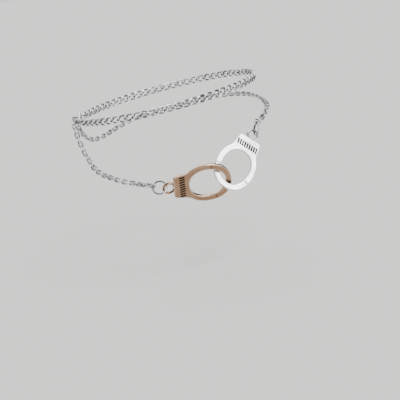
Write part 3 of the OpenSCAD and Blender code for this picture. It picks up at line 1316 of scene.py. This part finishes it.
@dataclass(frozen=True)
class Studio:
    """Pale floor, soft lights, and the camera at the photo's angle.

    Attributes:
        target: What the camera looks at.
        elevation: How far it looks down.
        roll: How far the picture is turned.
        clip: Nearest and furthest distance that the camera sees, in metres.
        floor_r: Radius of the floor in metres.
        sun: Strength of the daylight.
        sun_size: Its width as an angle.
        sun_turns: Turns about X and Y that set its direction.
        dimming: The room's light by height of the direction, from level to straight up.
        tint: Colour of that light.
        areas: Its soft bright areas: key at the right, overhead, fill at the left, and behind.
    """

    target: Place = (2.1, 0.0, -42.8)
    distance: float = 400.0
    elevation: float = 13.6
    roll: float = 14.9
    lens: float = 91.35
    sensor: float = 36.0
    clip: tuple[float, float] = (0.01, 50.0)
    floor_z: float = -62.0
    floor_r: float = 30.0
    floor_sides: int = 96
    sun: float = 1.7
    sun_size: float = 24.0
    sun_turns: tuple[float, float] = (28.0, 24.0)
    dimming: tuple[tuple[float, float], ...] = ((0.0, 1.0), (0.04, 1.0), (0.2, 0.04), (1.0, 0.04))
    tint: Colour = (1.0, 0.99, 0.975)
    areas: tuple[SoftArea, ...] = (
        SoftArea((0.6, -0.7, 0.36), 14.0, 24.0, 7.0),
        SoftArea((0.0, 0.35, 0.94), 20.0, 42.0, 2.4),
        SoftArea((-0.85, -0.35, 0.4), 8.0, 20.0, 3.6, (0.9, 0.95, 1.0)),
        SoftArea((-0.35, 0.85, 0.4), 10.0, 24.0, 2.0),
    )

    def build(self) -> None:
        """Builds the room."""
        self.camera()
        self.floor()
        self.daylight()
        self.sky()

    def camera(self) -> None:
        """Places the camera: it is moved back, rolled, tilted, and carried to its target."""
        data = bpy.data.cameras.new("camera")
        data.lens = self.lens
        data.sensor_width = self.sensor
        data.clip_start, data.clip_end = self.clip
        camera = bpy.data.objects.new("camera", data)
        back = Matrix.Translation(Vector((0.0, 0.0, self.distance)) * MM)
        rolled = Matrix.Rotation(math.radians(-self.roll), 4, "Z") @ back
        tilted = Matrix.Rotation(math.radians(90.0 - self.elevation), 4, "X") @ rolled
        camera.matrix_world = Matrix.Translation(Vector(self.target) * MM) @ tilted
        bpy.context.scene.collection.objects.link(camera)
        bpy.context.scene.camera = camera

    def floor(self) -> None:
        """Lays a wide round floor: one face with its corners on a circle."""
        rim = self.floor_r * on_circle(around(self.floor_sides)) + UP * self.floor_z * MM
        mesh = bpy.data.meshes.new("floor")
        mesh.from_pydata(rim.tolist(), [], [list(range(self.floor_sides))])
        mesh.materials.append(FloorFinish().material())
        floor = bpy.data.objects.new("floor", mesh)
        bpy.context.scene.collection.objects.link(floor)

    def daylight(self) -> None:
        """Adds a soft sun, which lights the floor evenly out to its edge."""
        data = bpy.data.lights.new("daylight", "SUN")
        data.energy = self.sun
        data.angle = math.radians(self.sun_size)
        sun = bpy.data.objects.new("daylight", data)
        about_x, about_y = (math.radians(t) for t in self.sun_turns)
        sun.matrix_world = Matrix.Rotation(about_x, 4, "X") @ Matrix.Rotation(about_y, 4, "Y")
        bpy.context.scene.collection.objects.link(sun)

    def sky(self) -> None:
        """Sets the room's own light.

        It is as pale as the floor at the horizon, dim above that, and has soft bright areas: the
        light of an area goes from none to its full strength as the direction's dot product with the
        area's middle goes from the cosine of its outer angle to that of its inner one.
        """
        world = bpy.data.worlds.new("room")
        world.use_nodes = True
        tree = world.node_tree
        nodes = Nodes(tree)
        direction = tree.nodes.new("ShaderNodeTexCoord").outputs["Generated"]
        parts = tree.nodes.new("ShaderNodeSeparateXYZ")
        nodes.feed(parts.inputs["Vector"], direction)
        ramp = tree.nodes.new("ShaderNodeValToRGB")
        nodes.feed(ramp.inputs["Fac"], parts.outputs["Z"])
        for position, _ in self.dimming[1:-1]:
            ramp.color_ramp.elements.new(position)
        for element, (_, value) in zip(ramp.color_ramp.elements, self.dimming):
            element.color = (*(value * part for part in self.tint), 1.0)
        colour = ramp.outputs["Color"]
        for area in self.areas:
            middle = Vector(area.middle).normalized()
            cosine = nodes.vectors("DOT_PRODUCT", direction, middle).outputs["Value"]
            edges = (math.cos(math.radians(area.outer)), math.cos(math.radians(area.inner)))
            share = nodes.spread(cosine, edges, interpolation="SMOOTHSTEP")
            light = Vector(area.colour) * area.strength
            colour = nodes.vectors("MULTIPLY_ADD", share, light, colour).outputs["Vector"]
        nodes.feed(tree.nodes["Background"].inputs["Color"], colour)
        bpy.context.scene.world = world


# The strands' routes, as rows of turn, height and stand-off, and the order of work

LEFT_ROWS = (
    (-164.2, -5.0, 2.9),
    (-163.9, -9.5, 2.2),
    (-162.2, -13.2, 1.3),
    (-158.5, -16.1, 0.7),
    (-153.0, -18.2, 0.3),
    (-147.0, -19.6, 0.1),
    (-139.0, -20.8, 0.0),
    (-133.0, -21.7, 0.2),
    (-127.0, -22.6, 0.6),
    (-121.0, -23.4, 1.0),
    (-115.0, -24.1, 2.2),
)
RIGHT_ROWS = (
    (-35.2, -13.4, 4.0),
    (-29.0, -12.2, 3.8),
    (-22.0, -11.5, 3.0),
    (-15.0, -11.1, 1.9),
    (-7.0, -10.9, 0.9),
    (3.5, -10.5, 0.4),
    (14.0, -9.8, 0.1),
    (30.0, -8.9, 0.0),
    (55.0, -8.4, 0.0),
    (85.0, -8.4, 0.0),
    (113.0, -8.9, 0.0),
    (128.0, -9.9, 0.0),
    (139.0, -10.9, 0.2),
    (149.0, -11.4, 0.8),
    (156.5, -10.6, 1.5),
    (162.2, -8.3, 2.2),
    (166.0, -4.6, 2.9),
)


def corners(bounds: tuple) -> list[list[float]]:
    """The lowest and highest corner of a box as plain lists of numbers."""
    return [[float(n) for n in corner] for corner in bounds]


def main() -> None:
    """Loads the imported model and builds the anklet's pieces over it, one after another."""
    logging.basicConfig(level=logging.INFO, format="%(name)s: %(message)s")
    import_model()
    # Each finish's third colour, near black, is the film in hollows: partly tarnish, partly painted shade.
    bright = SilverFinish(Metal.BRIGHT, (0.34, 0.35, 0.38), (0.93, 0.93, 0.94), (0.022, 0.02, 0.02))
    # Warm silver: its tan low and high colours are partly its warm grey tarnish and partly a painted
    # reflection of skin.
    warm = SilverFinish(
        Metal.WARM,
        low=(0.24, 0.11, 0.045),
        high=(0.66, 0.5, 0.375),
        tarnish_and_shade=(0.06, 0.04, 0.03),
        tarnish_and_shade_share=0.5,
        patch_share=0.14,
    )
    bench = Workbench({Metal.BRIGHT: bright, Metal.WARM: warm})
    ankle = Ankle()
    join_left = ClaspRing("join_ring_left", turn=-163.5, ankle=ankle)
    join_back = ClaspRing("join_ring_back", turn=168.0, ankle=ankle)
    end_left = HungRing("cable_chain_left", (-13.03, -34.52, -24.87), (0.0, 21.3, -34.6), END_D, END_WIRE)
    end_right = HungRing("cable_chain_right", (29.62, -23.85, -14.31), (0.0, -29.1, 32.5), END_D, END_WIRE)
    log.info("upper strand")
    CurbStrand(ankle, join_left, join_back).build(bench)
    log.info("lower strand")
    left = CableStrand("cable_chain_left", ankle, join_left, end_left, LEFT_ROWS, True, link_turn=86.8)
    left.build(bench)
    right = CableStrand("cable_chain_right", ankle, join_back, end_right, RIGHT_ROWS, False, link_turn=90.0)
    right.build(bench)
    log.info("charms and their rings")
    HungRing("jump_ring_left", (-10.65, -35.5, -26.03), (0.0, -36.5, 1.15)).build(bench)
    HungRing("jump_ring_right", (28.73, -25.78, -16.08), (0.0, -28.5, -76.85)).build(bench)
    middle, turns, lines = (6.37, -34.28, -28.8), (-6.95, 20.55, 4.8), (86.0, -75.0)
    CuffCharm("cuff_left", Metal.WARM, middle, turns, lines).build(bench)
    middle, turns, lines = (17.34, -31.88, -26.64), (216.5, 23.75, 33.8), (74.0, -83.0)
    CuffCharm("cuff_right", Metal.BRIGHT, middle, turns, lines).build(bench)
    log.info("clasp and its rings")
    join_left.build(bench)
    join_back.build(bench)
    Clasp(join_left, join_back).build(bench)
    log.info("room")
    Studio().build()


if __name__ == "__main__":
    main()
